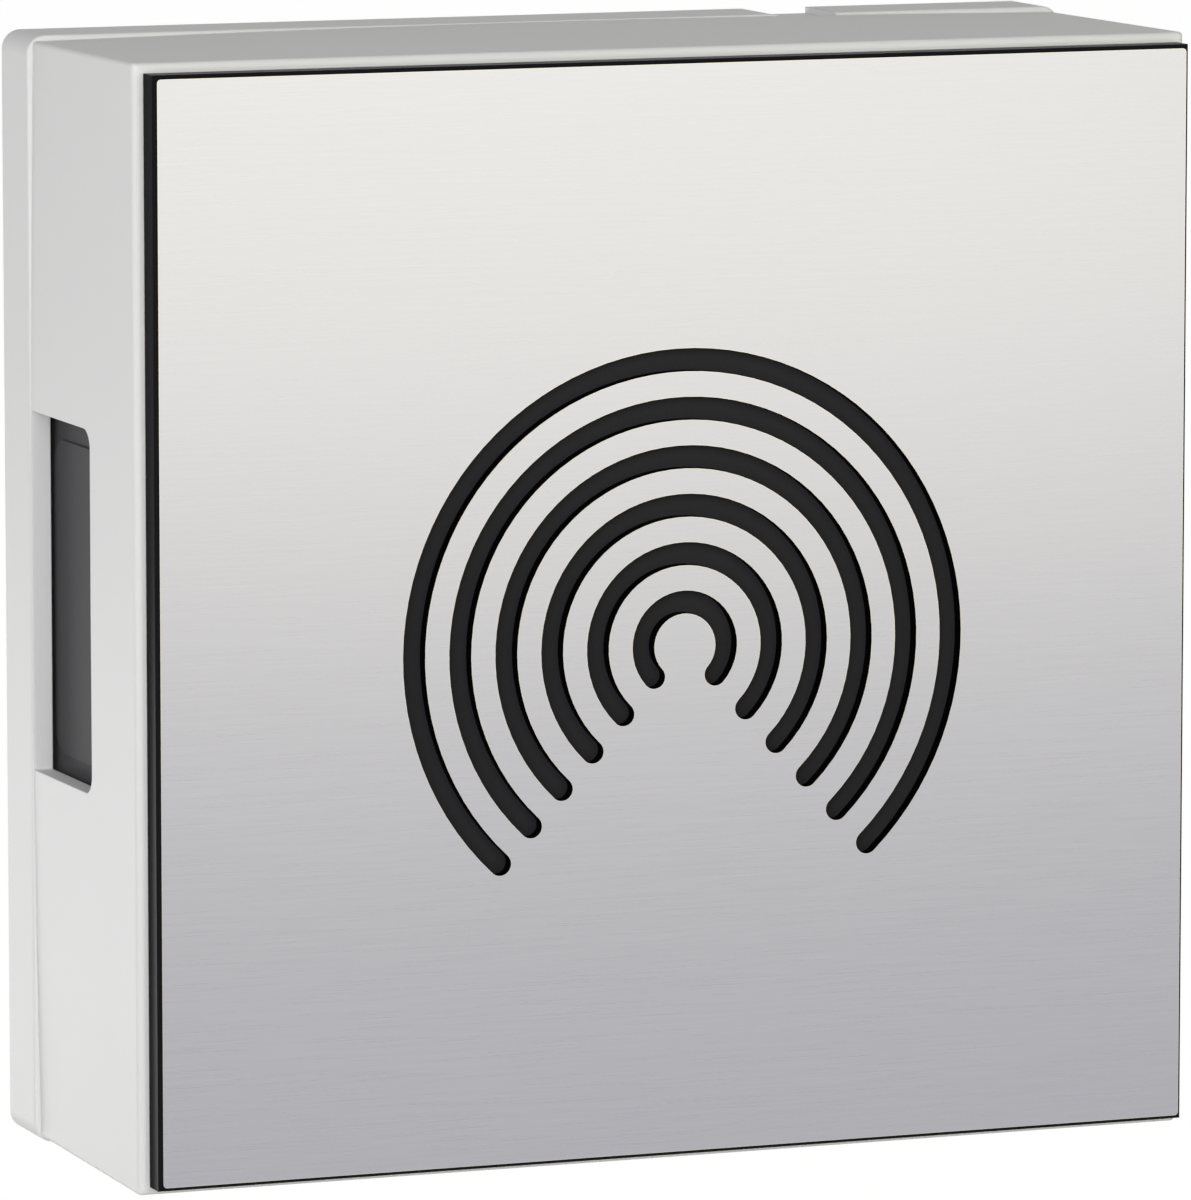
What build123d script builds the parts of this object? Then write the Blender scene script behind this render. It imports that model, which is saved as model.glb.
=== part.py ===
from build123d import *
import os
from math import asin, degrees, pi, sqrt

os.makedirs("parts", exist_ok=True)

# Two-tone door chime for wall mounting, in millimetres. X is to the right, Z is up and the front
# faces -Y. The wall is the plane Y = 0, and a depth is a distance from the wall towards the front.

# Cover shell
rim_width = 145.0
front_draft = 0.5
cover_depth = 52.5
side_wall = 2.4
rim_wall = 2.6
front_wall = 2.4
inner_corner_radius = 1.5
band_depth = 10.8
band_corner_radius = 2.5
band_step_radius = 0.45
crown_drop = 0.15
corner_drop = 0.8
front_edge_radius = 0.9
long_edge_radius = 0.5
cut_overrun = 2.0

# Sound slots in both side walls
slot_rear = 11.2
slot_front = 34.6
slot_height = 47.0
slot_rise = 0.4
slot_corner_radius = 2.5

# Release notch in the top of the rear band
notch_ramp_start = 30.9
notch_ramp_length = 4.2
notch_flat_length = 5.0
notch_drop = 0.85

# Snap ribs inside the cover and nubs on the base
snap_length = 22.0
snap_height = 0.35
snap_width = 0.9
snap_inset = 0.9
snap_clearance = 0.05

# Front panel: brushed foil on a black core, held by foam tape
panel_margin = 0.35
panel_chamfer = 0.5
core_thickness = 3.85
foil_thickness = 0.15
foil_corner_radius = 0.5
tape_thickness = 0.5
tape_width = 12.0
tape_inset = 3.0

# Engraved rings, cut with a round cutter
ring_count = 6
first_ring_radius = 5.7
ring_pitch = 6.24
cutter_width = 3.0
ring_centre_drop = 4.5
ring_centre_right = 0.5
groove_depth = 2.0
opening_angle = 42.5
opening_offset = 0.5

# Base plate
base_clearance = 0.7
base_thickness = 2.4
base_corner_radius = 1.2
lip_depth = 8.0
lip_thickness = 1.2
lip_bulge_gap = 1.0

# Wall screw slots
wall_slot_length = 8.0
wall_slot_width = 4.5
wall_slot_inset = 15.2
wall_collar_width = 2.0
wall_collar_height = 0.8
wall_collar_gap = 0.5

# Cable entry
cable_bore_radius = 3.0
grommet_wall = 1.5
grommet_groove = 1.5
grommet_flange_rim = 1.5
grommet_fit = 0.1
grommet_flange_thickness = 1.2
grommet_sleeve_depth = 6.5
grommet_gap = 0.4

# Striking line of the solenoid
axis_depth = 26.0

# Resonators
resonator_span = 17.7
resonator_end_gap = 4.5
resonator_front_gap = 4.1
resonator_wall = 1.6
resonator_corner_radius = 1.0
bulge_base_gap = 0.4
bulge_rise = 2.6
bulge_front = 38.0
bulge_height = 52.0
bulge_corner_radius = 3.0
bulge_edge_radius = 1.2
pad_gap = 0.8
pad_rise = 0.3
pad_rear = 9.6
pad_front = 36.0
pad_height = 41.2
pad_drop = 0.3
pad_corner_radius = 5.0
bridge_width = 5.0
bridge_thickness = 2.0
peg_radius = 1.6
peg_tail = 2.1
tab_length = 10.0
tab_width = 8.0
tab_thickness = 2.0
tab_end_gap = 11.5

# Tone bars: the high bar's note is a major third above the low bar's
bar_end_gap = 1.0
tone_steps = 4
steps_per_octave = 12
bar_width = 28.0
bar_thickness = 1.6
bar_corner_radius = 3.0
bar_hole_radius = 3.0
node_share = 0.276

# Rubber grommets and push-on retainers of the bars
rubber_flange_thickness = 1.2
rubber_flange_radius = 4.6
rubber_fit = 0.1
peg_fit = 0.05
retainer_thickness = 0.5
retainer_radius = 3.4

# Solenoid
bobbin_flange_width = 26.0
bobbin_flange_thickness = 1.6
bobbin_flange_radius = 2.0
bobbin_tube_wall = 1.1
winding_margin = 1.5
winding_fit = 0.05
yoke_thickness = 1.6
yoke_width = 22.0
yoke_gap = 0.1
yoke_front_inset = 1.0
yoke_hole_clearance = 0.5
ear_head_gap = 2.5
ear_width = 9.0
post_radius = 4.0

# Plunger and strikers
core_radius = 4.5
core_past_middle = 7.0
core_fit = 0.08
core_edge_chamfer = 0.4
spigot_radius = 2.0
spigot_length = 4.0
spigot_fit = 0.05
left_rest_gap = 2.0
right_rest_gap = 6.0
left_rod_radius = 3.0
right_rod_radius = 2.2
striker_head_radius = 3.0
striker_head_length = 6.0
striker_dome_radius = 1.2
left_nose = 6.2
left_rod_length = 9.0
left_collar_thickness = 1.5
left_collar_rim = 1.35
right_nose = 7.3
right_collar_thickness = 1.4
right_collar_rim = 0.55
collar_fit = 0.05

# Springs
spring_seat_gap = 0.05
return_spring_length = 14.3
return_spring_gap = 0.85
return_spring_wire = 0.7
return_spring_turns = 7
buffer_spring_gap = 0.45
buffer_spring_wire = 0.5
buffer_spring_turns = 5

# Pins on the bobbin where the winding's leads are soldered
pin_radius = 0.45
pin_fit = 0.05
pin_length = 5.5
pin_bury = 2.0
pin_rise = 4.0
lug_width = 4.0
lug_drop = 3.5
lug_length = 5.0

# Terminal block
pole_count = 3
pole_pitch = 10.0
block_gap = 0.5
block_end_wall = 3.5
block_side_wall = 2.5
block_screw_recess = 2.4
block_ear_thickness = 2.5
block_ear_rim = 0.5
platform_height = 3.0
wire_channel_radius = 2.0
clamp_width = 6.0
clamp_height = 8.0
clamp_thickness = 6.4
clamp_fit = 0.1
clamp_hole_radius = 1.5
clamp_floor = 2.2

# Screws
tapping_head_radius = 3.0
tapping_head_height = 1.9
tapping_shank_radius = 1.4
tapping_hole_clearance = 0.15
pilot_clearance = 0.05
screw_floor = 1.0
clamp_screw_head_radius = 2.2
clamp_screw_head_height = 1.6
clamp_screw_shank_radius = 1.2
cross_slot_width = 0.7
cross_slot_length_share = 1.3
cross_slot_depth = 0.9

# Leads from the winding to the terminals
lead_radius = 0.7
lead_drop = 6.5
lead_shoulder = 5.5
lead_slope = 10.5
lead_insert = 8.5
clip_wall = 1.2
clip_gap = 0.35
clip_length = 4.0
clip_block_gap = 0.25

# Cover, panel and base, worked out from the sizes above
rim_half = rim_width / 2
rim_inner = rim_half - rim_wall
front_half = rim_half - front_draft
front_inner = front_half - side_wall
body_start = band_depth - cut_overrun
panel_width = 2 * (front_half - front_edge_radius - panel_margin)
panel_face_width = panel_width - 2 * panel_chamfer
panel_rear = cover_depth + tape_thickness
core_front = panel_rear + core_thickness
base_half = rim_inner - base_clearance
lip_inner = base_half - lip_thickness
nub_height = base_clearance - snap_height - snap_clearance
snap_depth = lip_depth - snap_inset - snap_width
notch_flat_start = notch_ramp_start + notch_ramp_length
notch_flat_end = notch_flat_start + notch_flat_length

# Resonators and bars, from the cover inwards
bulge_face = rim_inner - pad_gap - pad_rise
bulge_rear = base_thickness + bulge_base_gap
bulge_depth = bulge_front - bulge_rear
bulge_mid = (bulge_front + bulge_rear) / 2
resonator_outer = bulge_face - bulge_rise
resonator_inner = resonator_outer - resonator_span
resonator_height = 2 * (lip_inner - resonator_end_gap)
resonator_depth = cover_depth - front_wall - resonator_front_gap
boss_depth = base_thickness + resonator_wall
tab_front = boss_depth + tab_thickness
tab_x = resonator_inner - tab_length / 2 - resonator_wall
tab_offset = resonator_height / 2 - tab_end_gap
bar_outer = resonator_inner - rubber_flange_thickness
bar_inner = bar_outer - bar_thickness
peg_length = 2 * rubber_flange_thickness + bar_thickness + retainer_thickness + peg_tail
low_bar_length = resonator_height - 2 * bar_end_gap
high_bar_length = low_bar_length / sqrt(2 ** (tone_steps / steps_per_octave))
wall_slot_x = resonator_inner - tab_length - wall_collar_gap - wall_collar_width - wall_slot_length / 2
wall_slot_z = base_half - wall_slot_inset

# Strikers, springs and coil, from the bars inwards
left_tip = left_rest_gap - bar_inner
left_collar_inner = left_tip + left_nose + left_collar_thickness
core_left = left_collar_inner + left_rod_length
core_right = core_past_middle
right_tip = bar_inner - right_rest_gap
right_collar_inner = right_tip - right_nose - right_collar_thickness
yoke_outer = -left_collar_inner - return_spring_length
yoke_end = yoke_outer - yoke_thickness
bobbin_half = yoke_end - yoke_gap
bobbin_length = 2 * bobbin_half
bobbin_bore = core_radius + core_fit
bobbin_tube = bobbin_bore + bobbin_tube_wall
flange_half = bobbin_flange_width / 2
winding_radius = flange_half - winding_margin
yoke_seat = axis_depth - flange_half - yoke_gap - yoke_thickness
yoke_floor = yoke_seat + yoke_thickness
yoke_front = axis_depth + flange_half - yoke_front_inset
ear_offset = yoke_width / 2 + ear_head_gap + tapping_head_radius
left_window = core_radius + yoke_hole_clearance
right_window = striker_head_radius + yoke_hole_clearance
return_spring_radius = core_radius + return_spring_gap + return_spring_wire / 2
buffer_spring_radius = right_window + buffer_spring_gap + buffer_spring_wire / 2
left_collar_radius = return_spring_radius + return_spring_wire / 2 + left_collar_rim
right_collar_radius = buffer_spring_radius + buffer_spring_wire / 2 + right_collar_rim
pin_x = bobbin_half - lug_width / 2
pin_depth = axis_depth - pin_rise
pin_tip = flange_half + lug_drop - pin_bury + pin_length

# Cable entry, terminal block and leads, from the coil downwards
grommet_sleeve_radius = cable_bore_radius + grommet_wall
cable_hole_radius = grommet_sleeve_radius + grommet_groove
grommet_flange_radius = cable_hole_radius + grommet_flange_rim
cable_hole_drop = ear_offset + post_radius + grommet_gap + grommet_flange_radius
ear_length = 2 * (tapping_head_radius + block_ear_rim)
block_length = (pole_count - 1) * pole_pitch + clamp_width + 2 * block_end_wall
block_height = clamp_height + 2 * block_side_wall
block_thickness = clamp_floor + clamp_thickness + block_screw_recess
block_screw_x = (block_length + ear_length) / 2
block_drop = cable_hole_drop + grommet_flange_radius + block_gap + block_height / 2
block_low = block_drop + block_height / 2
platform_depth = base_thickness + platform_height
pocket_depth = platform_depth + clamp_floor
channel_depth = pocket_depth + clamp_thickness / 2
clamp_front = pocket_depth + clamp_thickness
clip_half = lead_radius + clip_gap
lead_side = block_length / 2 + ear_length + clip_block_gap + clip_wall + clip_half
pole_places = [(n - (pole_count - 1) / 2) * pole_pitch for n in range(pole_count)]

# Names of what comes in pairs, by side
side_names = {-1: "left", 1: "right"}
bar_lengths = {-1: low_bar_length, 1: high_bar_length}
bar_names = {-1: "low", 1: "high"}


def finish(builder, name):
    """Label a finished piece and write it to its own file."""
    builder.part.label = name
    export_step(builder.part, f"parts/{name}.step")


def wall_outline(corner, middle):
    """A square outline whose four sides bow out from the corners to the middle value."""
    corners = [(corner, corner), (-corner, corner), (-corner, -corner), (corner, -corner)]
    middles = [(0, middle), (-middle, 0), (0, -middle), (middle, 0)]
    with BuildSketch() as outline:
        with BuildLine():
            for n in range(len(corners)):
                end = corners[(n + 1) % len(corners)]
                if middle > corner:
                    ThreePointArc(corners[n], middles[n], end)
                else:
                    Line(corners[n], end)
        make_face()
    return outline.sketch


def ring_slots():
    """The six concentric arcs that the cutter follows, as one flat outline."""
    with BuildSketch() as rings:
        for n in range(ring_count):
            radius = first_ring_radius + n * ring_pitch
            half_gap = opening_angle + degrees(asin(opening_offset / radius))
            with BuildLine(mode=Mode.PRIVATE) as path:
                CenterArc((0, 0), radius, half_gap - 90, 360 - 2 * half_gap)
            with Locations((ring_centre_right, -ring_centre_drop)):
                SlotArc(path.wire(), cutter_width)
    return rings.sketch


def cross_screw(head_radius, head_height, shank_radius, shank_length):
    """A pan-head screw whose head stands on Y = 0 towards the front and whose shank goes back."""
    with BuildPart() as screw:
        with BuildSketch(Plane.XZ):
            Circle(head_radius)
        extrude(amount=head_height)
        fillet(screw.faces().sort_by(Axis.Y)[0].edges(), head_height / 2)
        with BuildSketch(Plane.XZ):
            Circle(shank_radius)
        extrude(amount=-shank_length)
        with BuildSketch(Plane.XZ.offset(head_height)):
            Rectangle(head_radius * cross_slot_length_share, cross_slot_width)
            Rectangle(cross_slot_width, head_radius * cross_slot_length_share)
        extrude(amount=-cross_slot_depth, mode=Mode.SUBTRACT)
    return screw.part


def biarc_joint(start, start_way, end, end_way):
    """The point and direction where two equal-reach arcs meet between two points."""
    chord = end - start
    ways = start_way + end_way
    spread = 2 * (1 - start_way.dot(end_way))
    along = chord.dot(ways)
    reach = (sqrt(along * along + spread * chord.dot(chord)) - along) / spread
    first = start + start_way * reach
    second = end - end_way * reach
    return (first + second) * 0.5, (second - first).normalized()


def coil_spring(x_start, x_end, mean_radius, wire_diameter, turns, name):
    """A round-wire spring on the striking line, swept along a chain of tangent arcs."""
    first = x_start + spring_seat_gap + wire_diameter / 2
    last = x_end - spring_seat_gap - wire_diameter / 2
    quarters = 4 * turns
    rise = (last - first) / quarters
    spokes = [(0, 1), (1, 0), (0, -1), (-1, 0)]
    points = []
    ways = []
    for n in range(quarters + 1):
        out_y, out_z = spokes[n % 4]
        along_y, along_z = spokes[(n + 1) % 4]
        place = Vector(first + n * rise, out_y * mean_radius - axis_depth, out_z * mean_radius)
        points.append(place)
        climb = 2 * rise / pi
        ways.append(Vector(climb, along_y * mean_radius, along_z * mean_radius).normalized())
    with BuildPart() as spring:
        with BuildLine() as path:
            for n in range(quarters):
                joint, joint_way = biarc_joint(points[n], ways[n], points[n + 1], ways[n + 1])
                TangentArc(points[n], joint, tangent=ways[n])
                TangentArc(joint, points[n + 1], tangent=joint_way)
        with BuildSketch(Plane(origin=points[0], z_dir=ways[0])):
            Circle(wire_diameter / 2)
        sweep(path=path.wire())
    gap = min((points[n + 4] - points[n]).length for n in range(quarters - 3)) - wire_diameter
    print(name, "least gap between turns", round(gap, 2))
    finish(spring, name)


# Cover shell: a square box with a proud band at the wall end, side slots and a notch
rear_outline = wall_outline(rim_half - corner_drop, rim_half - crown_drop)
front_outline = wall_outline(front_half, front_half)
with BuildPart() as cover_shell:
    with BuildSketch(Plane.XZ):
        RectangleRounded(rim_width, rim_width, band_corner_radius)
    extrude(amount=band_depth)
    fillet(cover_shell.faces().sort_by(Axis.Y)[0].edges(), band_step_radius)
    with BuildSketch(Plane.XZ.offset(body_start)):
        add(rear_outline)
    with BuildSketch(Plane.XZ.offset(cover_depth)):
        add(front_outline)
    loft()
    long_edges = cover_shell.edges().filter_by(
        lambda edge: edge.bounding_box().size.Y > cover_depth / 2
    )
    fillet(long_edges, long_edge_radius)
    fillet(cover_shell.faces().sort_by(Axis.Y)[0].edges(), front_edge_radius)
    with BuildSketch(Plane.XZ):
        RectangleRounded(2 * rim_inner, 2 * rim_inner, inner_corner_radius)
    with BuildSketch(Plane.XZ.offset(cover_depth - front_wall)):
        RectangleRounded(2 * front_inner, 2 * front_inner, inner_corner_radius)
    loft(mode=Mode.SUBTRACT)
    with BuildSketch(Plane.YZ) as side_slot:
        with Locations((-(slot_rear + slot_front) / 2, slot_rise)):
            Rectangle(slot_front - slot_rear, slot_height)
        fillet(side_slot.vertices().group_by(Axis.X)[0], slot_corner_radius)
    extrude(amount=rim_width, both=True, mode=Mode.SUBTRACT)
    with BuildSketch(Plane.XZ):
        with BuildLine():
            Polyline(
                (notch_ramp_start, rim_half),
                (notch_flat_start, rim_half - notch_drop),
                (notch_flat_end, rim_half - notch_drop),
                (notch_flat_end, rim_half + cut_overrun),
                (notch_ramp_start, rim_half + cut_overrun),
                close=True,
            )
        make_face()
    extrude(amount=band_depth, mode=Mode.SUBTRACT)
    with BuildSketch(Plane.XZ.offset(snap_depth - snap_clearance - snap_width)):
        for side in (-1, 1):
            with Locations((0, side * (rim_inner + (rim_wall / 2 - snap_height) / 2))):
                Rectangle(snap_length, rim_wall / 2 + snap_height)
    extrude(amount=snap_width)
finish(cover_shell, "cover_shell")

# Front panel core: black plastic sheet with a bevelled edge and engraved rings
rings = ring_slots()
with BuildPart() as front_panel_core:
    with BuildSketch(Plane.XZ.offset(panel_rear)):
        Rectangle(panel_width, panel_width)
    extrude(amount=core_thickness)
    chamfer(front_panel_core.faces().sort_by(Axis.Y)[0].edges(), panel_chamfer)
    with BuildSketch(Plane.XZ.offset(core_front)):
        add(rings)
    extrude(amount=-(groove_depth - foil_thickness), mode=Mode.SUBTRACT)
finish(front_panel_core, "front_panel_core")

# Front panel face: thin brushed metal foil, cut through at every ring
with BuildPart() as front_panel_face:
    with BuildSketch(Plane.XZ.offset(core_front)):
        RectangleRounded(panel_face_width, panel_face_width, foil_corner_radius)
        add(rings, mode=Mode.SUBTRACT)
    extrude(amount=foil_thickness)
finish(front_panel_face, "front_panel_face")

# Foam tape: four strips between the cover and the panel
tape_run = panel_width - 2 * tape_inset
with BuildPart() as panel_tape:
    with BuildSketch(Plane.XZ.offset(cover_depth)):
        for side in (-1, 1):
            with Locations((side * (tape_run - tape_width) / 2, 0)):
                Rectangle(tape_width, tape_run)
            with Locations((0, side * (tape_run - tape_width) / 2)):
                Rectangle(tape_run - 2 * tape_width - 2 * tape_inset, tape_width)
    extrude(amount=tape_thickness)
finish(panel_tape, "panel_tape")

# Base plate: the moulded chassis that is screwed to the wall and carries everything
mount_places = GridLocations(2 * wall_slot_x, 2 * wall_slot_z, 2, 2)
tab_places = GridLocations(2 * tab_x, 2 * tab_offset, 2, 2)
ear_places = GridLocations(0, 2 * ear_offset, 1, 2)
block_screw_places = Locations((-block_screw_x, -block_drop), (block_screw_x, -block_drop))
with BuildPart() as base_plate:
    with BuildSketch(Plane.XZ):
        RectangleRounded(2 * base_half, 2 * base_half, base_corner_radius)
    extrude(amount=base_thickness)
    with BuildSketch(Plane.XZ.offset(base_thickness)):
        RectangleRounded(2 * base_half, 2 * base_half, base_corner_radius)
        Rectangle(2 * lip_inner, 2 * lip_inner, mode=Mode.SUBTRACT)
        with Locations((0, slot_rise)):
            Rectangle(2 * base_half, bulge_height + 2 * lip_bulge_gap, mode=Mode.SUBTRACT)
    extrude(amount=lip_depth - base_thickness)
    with BuildSketch(Plane.XZ.offset(base_thickness)):
        with tab_places:
            Circle(tab_width / 2 - tapping_hole_clearance)
    extrude(amount=boss_depth - base_thickness)
    with BuildSketch(Plane.XZ.offset(base_thickness)):
        with mount_places:
            SlotOverall(wall_slot_length + 2 * wall_collar_width, wall_slot_width + 2 * wall_collar_width)
    extrude(amount=wall_collar_height)
    with BuildSketch(Plane.XZ.offset(base_thickness)):
        with ear_places:
            Circle(post_radius)
    extrude(amount=yoke_seat - base_thickness)
    with BuildSketch(Plane.XZ.offset(base_thickness)):
        with Locations((0, -block_drop)):
            Rectangle(block_length + 2 * ear_length, block_height)
    extrude(amount=platform_height)
    with BuildSketch(Plane.XZ.offset(base_thickness)):
        for side in (-1, 1):
            for wall_side in (-1, 1):
                wall_x = side * lead_side + wall_side * (clip_half + clip_wall / 2)
                with Locations((wall_x, -block_low)):
                    Rectangle(clip_wall, clip_length)
    extrude(amount=channel_depth + lead_radius - base_thickness)
    with BuildSketch(Plane.XZ.offset(snap_depth)):
        for side in (-1, 1):
            with Locations((0, side * (base_half + (nub_height - lip_thickness) / 2))):
                Rectangle(snap_length, lip_thickness + nub_height)
    extrude(amount=snap_width)
    with BuildSketch(Plane.XZ):
        with mount_places:
            SlotOverall(wall_slot_length, wall_slot_width)
        with Locations((0, -cable_hole_drop)):
            Circle(cable_hole_radius)
    extrude(amount=base_thickness + wall_collar_height, mode=Mode.SUBTRACT)
    with BuildSketch(Plane.XZ.offset(screw_floor)):
        with tab_places:
            Circle(tapping_shank_radius + pilot_clearance)
        with ear_places:
            Circle(tapping_shank_radius + pilot_clearance)
        with block_screw_places:
            Circle(tapping_shank_radius + pilot_clearance)
    extrude(amount=yoke_seat, mode=Mode.SUBTRACT)
finish(base_plate, "base_plate")

# Cable grommet: a rubber sleeve in the base where the bell wire comes out of the wall
with BuildPart() as cable_grommet:
    with BuildSketch(Plane.XZ):
        with Locations((0, -cable_hole_drop)):
            Circle(cable_hole_radius - grommet_fit)
    extrude(amount=base_thickness)
    with BuildSketch(Plane.XZ.offset(base_thickness)):
        with Locations((0, -cable_hole_drop)):
            Circle(grommet_flange_radius)
    extrude(amount=grommet_flange_thickness)
    with BuildSketch(Plane.XZ.offset(base_thickness)):
        with Locations((0, -cable_hole_drop)):
            Circle(grommet_sleeve_radius)
    extrude(amount=grommet_sleeve_depth - base_thickness)
    with BuildSketch(Plane.XZ):
        with Locations((0, -cable_hole_drop)):
            Circle(cable_bore_radius)
    extrude(amount=grommet_sleeve_depth, mode=Mode.SUBTRACT)
finish(cable_grommet, "cable_grommet")

# Resonators and tone bars, one pair on each side
resonator_mid = (resonator_inner + resonator_outer) / 2
for side in (-1, 1):
    node_offset = bar_lengths[side] * node_share
    with BuildPart() as resonator:
        with BuildSketch(Plane.XZ.offset(base_thickness)):
            with Locations((side * resonator_mid, 0)):
                RectangleRounded(resonator_span, resonator_height, resonator_corner_radius)
        extrude(amount=resonator_depth - base_thickness)
        with BuildSketch(Plane.YZ.offset(side * resonator_outer)):
            with Locations((-bulge_mid, slot_rise)):
                RectangleRounded(bulge_depth, bulge_height, bulge_corner_radius)
        extrude(amount=side * bulge_rise)
        outermost = resonator.faces().sort_by(Axis.X)[-1 if side > 0 else 0]
        fillet(outermost.edges(), bulge_edge_radius)
        with BuildSketch(Plane.YZ.offset(side * bulge_face)):
            with Locations((-(pad_front + pad_rear) / 2, -pad_drop)):
                RectangleRounded(pad_front - pad_rear, pad_height, pad_corner_radius)
        extrude(amount=side * pad_rise)
        with BuildSketch(Plane.XZ.offset(base_thickness + resonator_wall)):
            with Locations((side * (resonator_mid - resonator_wall / 2 - cut_overrun / 2), 0)):
                Rectangle(
                    resonator_span - resonator_wall + cut_overrun, resonator_height - 2 * resonator_wall
                )
        extrude(amount=resonator_depth - base_thickness - 2 * resonator_wall, mode=Mode.SUBTRACT)
        with BuildSketch(Plane.YZ.offset(side * (resonator_outer - resonator_wall))):
            with Locations((-bulge_mid, slot_rise)):
                RectangleRounded(
                    bulge_depth - 2 * resonator_wall,
                    bulge_height - 2 * resonator_wall,
                    bulge_corner_radius - resonator_wall,
                )
        extrude(amount=side * bulge_rise, mode=Mode.SUBTRACT)
        with BuildSketch(Plane.XZ.offset(base_thickness + resonator_wall)):
            for end in (-1, 1):
                with Locations((side * (resonator_inner + bridge_thickness / 2), end * node_offset)):
                    Rectangle(bridge_thickness, bridge_width)
        extrude(amount=resonator_depth - base_thickness - 2 * resonator_wall)
        with BuildSketch(Plane.YZ.offset(side * resonator_inner)):
            with Locations((-axis_depth, node_offset), (-axis_depth, -node_offset)):
                Circle(peg_radius)
        extrude(amount=-side * peg_length)
        with BuildSketch(Plane.XZ.offset(boss_depth)):
            for end in (-1, 1):
                with Locations((side * (resonator_inner - tab_length / 2), end * tab_offset)):
                    Rectangle(tab_length + resonator_wall, tab_width)
                with Locations((side * tab_x, end * tab_offset)):
                    Circle(tapping_shank_radius + tapping_hole_clearance, mode=Mode.SUBTRACT)
        extrude(amount=tab_thickness)
    finish(resonator, f"resonator_{side_names[side]}")

    with BuildPart() as tone_bar:
        with BuildSketch(Plane.YZ.offset(side * bar_inner)):
            with Locations((-axis_depth, 0)):
                RectangleRounded(bar_width, bar_lengths[side], bar_corner_radius)
            with Locations((-axis_depth, node_offset), (-axis_depth, -node_offset)):
                Circle(bar_hole_radius, mode=Mode.SUBTRACT)
        extrude(amount=side * bar_thickness)
    finish(tone_bar, f"tone_bar_{bar_names[side]}")

# Rubber grommets: each bar hangs on two, between the peg bridge and the retainer
with BuildPart() as bar_grommets:
    for side in (-1, 1):
        for end in (-1, 1):
            node = (-axis_depth, end * bar_lengths[side] * node_share)
            with BuildSketch(Plane.YZ.offset(side * resonator_inner)):
                with Locations(node):
                    Circle(rubber_flange_radius)
                    Circle(peg_radius + peg_fit, mode=Mode.SUBTRACT)
            extrude(amount=-side * rubber_flange_thickness)
            with BuildSketch(Plane.YZ.offset(side * bar_outer)):
                with Locations(node):
                    Circle(bar_hole_radius - rubber_fit)
                    Circle(peg_radius + peg_fit, mode=Mode.SUBTRACT)
            extrude(amount=-side * bar_thickness)
            with BuildSketch(Plane.YZ.offset(side * bar_inner)):
                with Locations(node):
                    Circle(rubber_flange_radius)
                    Circle(peg_radius + peg_fit, mode=Mode.SUBTRACT)
            extrude(amount=-side * rubber_flange_thickness)
finish(bar_grommets, "bar_grommets")

# Push-on steel retainers at the ends of the pegs
with BuildPart() as bar_retainers:
    for side in (-1, 1):
        for end in (-1, 1):
            with BuildSketch(Plane.YZ.offset(side * (bar_inner - rubber_flange_thickness))):
                with Locations((-axis_depth, end * bar_lengths[side] * node_share)):
                    Circle(retainer_radius)
                    Circle(peg_radius + peg_fit, mode=Mode.SUBTRACT)
            extrude(amount=-side * retainer_thickness)
finish(bar_retainers, "bar_retainers")

# Bobbin: moulded spool with a lug for the solder pin on each flange
with BuildPart() as coil_bobbin:
    with BuildSketch(Plane.YZ.offset(-bobbin_half)):
        with Locations((-axis_depth, 0)):
            Circle(bobbin_tube)
    extrude(amount=bobbin_length)
    for side in (-1, 1):
        with BuildSketch(Plane.YZ.offset(side * bobbin_half)):
            with Locations((-axis_depth, 0)):
                RectangleRounded(bobbin_flange_width, bobbin_flange_width, bobbin_flange_radius)
        extrude(amount=-side * bobbin_flange_thickness)
        with BuildSketch(Plane.XY.offset(-flange_half - lug_drop)):
            with Locations((side * pin_x, -pin_depth)):
                Rectangle(lug_width, lug_length)
        extrude(amount=lug_drop + bobbin_flange_radius / 2)
        with BuildSketch(Plane.XY.offset(-flange_half - lug_drop)):
            with Locations((side * pin_x, -pin_depth)):
                Circle(pin_radius + pin_fit)
        extrude(amount=pin_bury, mode=Mode.SUBTRACT)
    with BuildSketch(Plane.YZ.offset(-bobbin_half)):
        with Locations((-axis_depth, 0)):
            Circle(bobbin_bore)
    extrude(amount=bobbin_length, mode=Mode.SUBTRACT)
finish(coil_bobbin, "coil_bobbin")

# Winding: enamelled copper wire between the flanges
winding_half = bobbin_half - bobbin_flange_thickness - winding_fit
with BuildPart() as coil_winding:
    with BuildSketch(Plane.YZ.offset(-winding_half)):
        with Locations((-axis_depth, 0)):
            Circle(winding_radius)
            Circle(bobbin_tube + winding_fit, mode=Mode.SUBTRACT)
    extrude(amount=2 * winding_half)
finish(coil_winding, "coil_winding")

# Solder pins in the bobbin's lugs
with BuildPart() as solder_pins:
    with BuildSketch(Plane.XY.offset(-pin_tip)):
        with Locations((pin_x, -pin_depth), (-pin_x, -pin_depth)):
            Circle(pin_radius)
    extrude(amount=pin_length)
finish(solder_pins, "solder_pins")

# Yoke: a bent steel strip round the coil, with two ears for its screws
ear_reach = ear_offset + ear_width / 2
with BuildPart() as coil_yoke:
    with BuildSketch(Plane.XZ.offset(yoke_seat)):
        Rectangle(2 * yoke_outer, yoke_width)
        Rectangle(ear_width, 2 * ear_reach)
        with ear_places:
            Circle(tapping_shank_radius + tapping_hole_clearance, mode=Mode.SUBTRACT)
    extrude(amount=yoke_thickness)
    for side, window in ((-1, left_window), (1, right_window)):
        with BuildSketch(Plane.YZ.offset(side * yoke_end)):
            with Locations((-(yoke_seat + yoke_front) / 2, 0)):
                Rectangle(yoke_front - yoke_seat, yoke_width)
            with Locations((-axis_depth, 0)):
                Circle(window, mode=Mode.SUBTRACT)
        extrude(amount=side * yoke_thickness)
finish(coil_yoke, "coil_yoke")

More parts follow.
